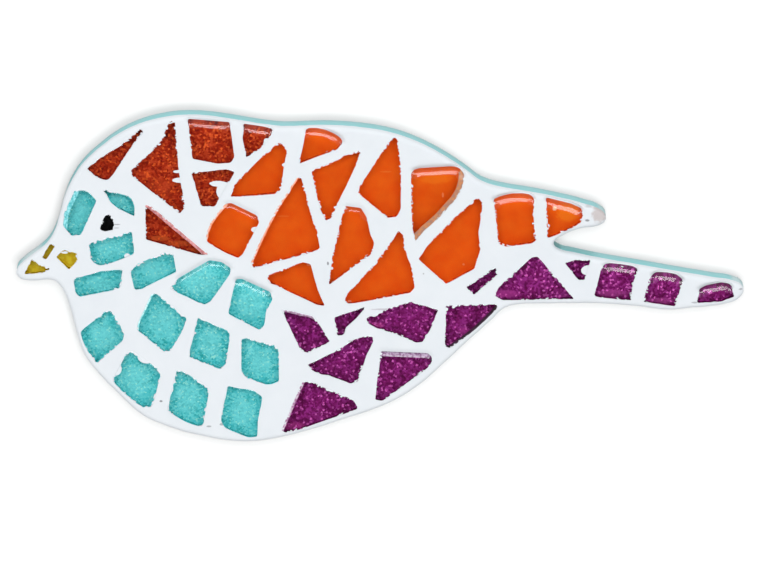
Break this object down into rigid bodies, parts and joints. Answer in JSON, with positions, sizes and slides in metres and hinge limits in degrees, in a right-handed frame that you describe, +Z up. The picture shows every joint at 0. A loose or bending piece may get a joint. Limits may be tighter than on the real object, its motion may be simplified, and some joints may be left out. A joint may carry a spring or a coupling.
{
  "type": "wall plaque",
  "caption": "Flat bird-shaped wall plaque of painted board, its front a mosaic of cut glitter and coloured glass tile set in pale grout.",
  "frame": {"origin": "middle of the fixing patch on the flat back, above the centre of mass", "axes": "+X from the beak to the tail, +Y from the front into the wall, +Z up"},
  "size_m": [0.2599, 0.0103, 0.1209],
  "materials": {
    "turquoise_paint": "satin paint",
    "pale_grout": "matt, wiped smooth",
    "teal_glass": "gloss over glitter",
    "red_glass": "gloss over glitter",
    "orange_glass": "gloss over a painted back",
    "purple_glass": "gloss over glitter",
    "yellow_glass": "gloss",
    "black_glass": "gloss"
  },
  "bodies": {
    "root": {"board": "turquoise_paint", "grout": "pale_grout", "teal_tile_01": "teal_glass", "teal_tile_02": "teal_glass", "teal_tile_03": "teal_glass", "teal_tile_04": "teal_glass", "teal_tile_05": "teal_glass", "teal_tile_06": "teal_glass", "teal_tile_07": "teal_glass", "teal_tile_08": "teal_glass", "teal_tile_09": "teal_glass", "teal_tile_10": "teal_glass", "teal_tile_11": "teal_glass", "teal_tile_12": "teal_glass", "teal_tile_13": "teal_glass", "teal_tile_14": "teal_glass", "red_tile_01": "red_glass", "red_tile_02": "red_glass", "red_tile_03": "red_glass", "red_tile_04": "red_glass", "red_tile_05": "red_glass", "red_tile_06": "red_glass", "orange_tile_01": "orange_glass", "orange_tile_02": "orange_glass", "orange_tile_03": "orange_glass", "orange_tile_04": "orange_glass", "orange_tile_05": "orange_glass", "orange_tile_06": "orange_glass", "orange_tile_07": "orange_glass", "orange_tile_08": "orange_glass", "orange_tile_09": "orange_glass", "orange_tile_10": "orange_glass", "orange_tile_11": "orange_glass", "orange_tile_12": "orange_glass", "orange_tile_13": "orange_glass", "purple_tile_01": "purple_glass", "purple_tile_02": "purple_glass", "purple_tile_03": "purple_glass", "purple_tile_04": "purple_glass", "purple_tile_05": "purple_glass", "purple_tile_06": "purple_glass", "purple_tile_07": "purple_glass", "purple_tile_08": "purple_glass", "purple_tile_09": "purple_glass", "purple_tile_10": "purple_glass", "purple_tile_11": "purple_glass", "purple_tile_12": "purple_glass", "purple_tile_13": "purple_glass", "yellow_tile_01": "yellow_glass", "yellow_tile_02": "yellow_glass", "yellow_tile_03": "yellow_glass", "eye_tile": "black_glass"}
  },
  "joints": []
}
